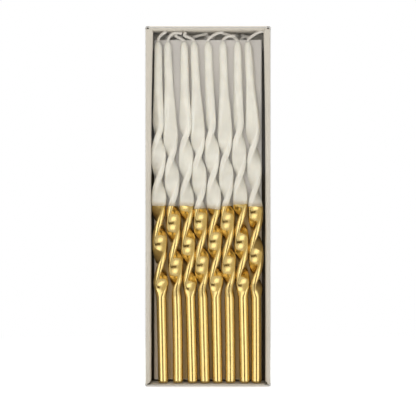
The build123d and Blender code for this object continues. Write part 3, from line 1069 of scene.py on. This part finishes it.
def floor_material(finish):
    """Pale matt floor that reads as white in light and keeps the shadow."""
    material, start, place = new_material("studio_floor")
    matt = start.node("ShaderNodeBsdfDiffuse", {"Color": opaque(finish.floor)})
    white = start.node("ShaderNodeEmission", {"Color": WHITE})
    lift = start.node("ShaderNodeEmission", {"Color": WHITE, "Strength": seen_directly(start) * 0.40})
    near = start.node("ShaderNodeAddShader", {0: matt, 1: lift})
    away = start.vector("LENGTH", {0: place}, out="Value")
    share = seen_directly(start) * away.ease(0.10, 0.40)
    show(start.node("ShaderNodeMixShader", {0: share, 1: near, 2: white}))
    return material


def reflected_card(name, middle, size, shade, glow=None):
    """Card facing the box that only gloss sees: a plain tone, or a glow that fades into the white room."""
    middle = Vector(middle)
    aim = (AIM - middle).normalized()
    right = aim.cross(Vector((0, 1, 0)) if abs(aim.z) > 0.9 else Vector((0, 0, 1))).normalized()
    up = right.cross(aim)
    mesh = bpy.data.meshes.new(name)
    corners = [
        middle + right * (u * size[0] / 2) + up * (v * size[1] / 2)
        for u, v in ((-1, -1), (1, -1), (1, 1), (-1, 1))
    ]
    mesh.from_pydata(corners, [], [range(len(corners))])
    card = placed(name, mesh)
    material, start, place = new_material(name)
    strength = 1.0
    if glow:
        fade = 1.0
        for axis, width in ((right, size[0]), (up, size[1])):
            along = start.vector("DOT_PRODUCT", {0: place, 1: axis}, out="Value") - middle.dot(axis)
            fade = (1 - abs(along) * (2 / width)).ease(0.0, 0.7) * fade
        strength = 1 + fade * (glow - 1)
    show(start.node("ShaderNodeEmission", {"Color": opaque(shade), "Strength": strength}))
    mesh.materials.append(material)
    card.visible_camera = card.visible_diffuse = False
    card.visible_transmission = card.visible_shadow = False


class CANDLES_OT_stage(bpy.types.Operator):
    """Make the floor, the lights and the camera"""

    bl_idname = "candles.stage"
    bl_label = "Stage"

    def execute(self, context):
        scene = context.scene
        studio = scene.studio
        floor = empty_mesh("studio_floor")
        radius, sides = 3, 64
        turns = [2 * pi * i / sides for i in range(sides)]
        ring = [(radius * cos(turn), radius * sin(turn), 0) for turn in turns]
        floor.data.from_pydata(ring, [], [range(sides)])
        floor.data.materials.append(floor_material(scene.finishes))
        floor.visible_glossy = False

        world = bpy.data.worlds.new("studio_white")
        world.use_nodes = True
        world.node_tree.nodes.clear()
        start = Value(world.node_tree)
        strength = studio.ambient + seen_directly(start) * (1.0 - studio.ambient)
        light = start.node("ShaderNodeBackground", {"Color": WHITE, "Strength": strength})
        start.node("ShaderNodeOutputWorld", {"Surface": light})
        scene.world = world

        for side, glow in ((-1, studio.left_glow), (1, studio.right_glow)):
            place = (side * 0.50, -0.72, 0.02)
            reflected_card(f"side_glow_{side + 1}", place, (0.80, 0.85), (1, 1, 1), studio.panel_glow)
            studio_panel(f"side_flood_{side + 1}", (side * 1.25, -0.75, 0.40), (1.0, 1.0), glow)
        studio_panel("front_fill", (-0.18, -1.5, 0.16), (0.8, 0.6), studio.fill_glow)
        studio_panel("back_fill", (0.3, 1.5, 0.5), (1.3, 0.9), studio.back_glow)
        studio_panel("top_panel", (0.0, 0.1, 1.3), (1.4, 1.4), studio.top_glow)
        reflected_card("middle_flag", (0.0, -0.70, -0.20), (0.27, 0.68), (0.13, 0.09, 0.04))
        reflected_card("ceiling_flag", (0.0, -0.25, 0.75), (2.4, 2.1), (0.84, 0.77, 0.60))

        lens = bpy.data.cameras.new("photo_camera")
        lens.sensor_width = 36.0
        lens.lens = lens.sensor_width * studio.camera_distance / studio.view_width
        lens.clip_start, lens.clip_end = 0.05, 20.0
        camera = placed("photo_camera", lens)
        camera.location = (0.0, FRONT_Y - studio.camera_distance, studio.view_height)
        camera.rotation_euler = (radians(90), 0, 0)
        scene.camera = camera
        scene.view_settings.view_transform = "Standard"
        return {"FINISHED"}


class CANDLES_PT_sidebar(bpy.types.Panel):
    """Buttons for the steps that make the boxed candles, and their settings"""

    bl_label = "Boxed spiral candles"
    bl_idname = "CANDLES_PT_sidebar"
    bl_space_type = "VIEW_3D"
    bl_region_type = "UI"
    bl_category = "Candles"

    def draw(self, context):
        for step in STEPS:
            self.layout.operator(step.bl_idname)
        for group in GROUPS:
            holder = getattr(context.scene, group)
            self.layout.label(text=holder.__doc__ or group)
            for prop in holder.bl_rna.properties:
                if prop.identifier not in ("rna_type", "name"):
                    self.layout.prop(holder, prop.identifier)


GROUPS = {
    "candle_sizes": CandleSizes,
    "wick_sizes": WickSizes,
    "box_sizes": BoxSizes,
    "finishes": Finishes,
    "studio": Studio,
}
STEPS = [
    CANDLES_OT_stage, CANDLES_OT_tray, CANDLES_OT_platform, CANDLES_OT_wax, CANDLES_OT_gold,
    CANDLES_OT_wicks, CANDLES_OT_sleeve,
]
CLASSES = [*GROUPS.values(), *STEPS, CANDLES_PT_sidebar]


def register():
    for item in CLASSES:
        bpy.utils.register_class(item)
    for name, group in GROUPS.items():
        setattr(bpy.types.Scene, name, PointerProperty(type=group))


def unregister():
    for name in GROUPS:
        delattr(bpy.types.Scene, name)
    for item in reversed(CLASSES):
        bpy.utils.unregister_class(item)


def main():
    register()
    for step in STEPS:
        group, action = step.bl_idname.split(".")
        getattr(getattr(bpy.ops, group), action)()


if __name__ == "__main__":
    main()
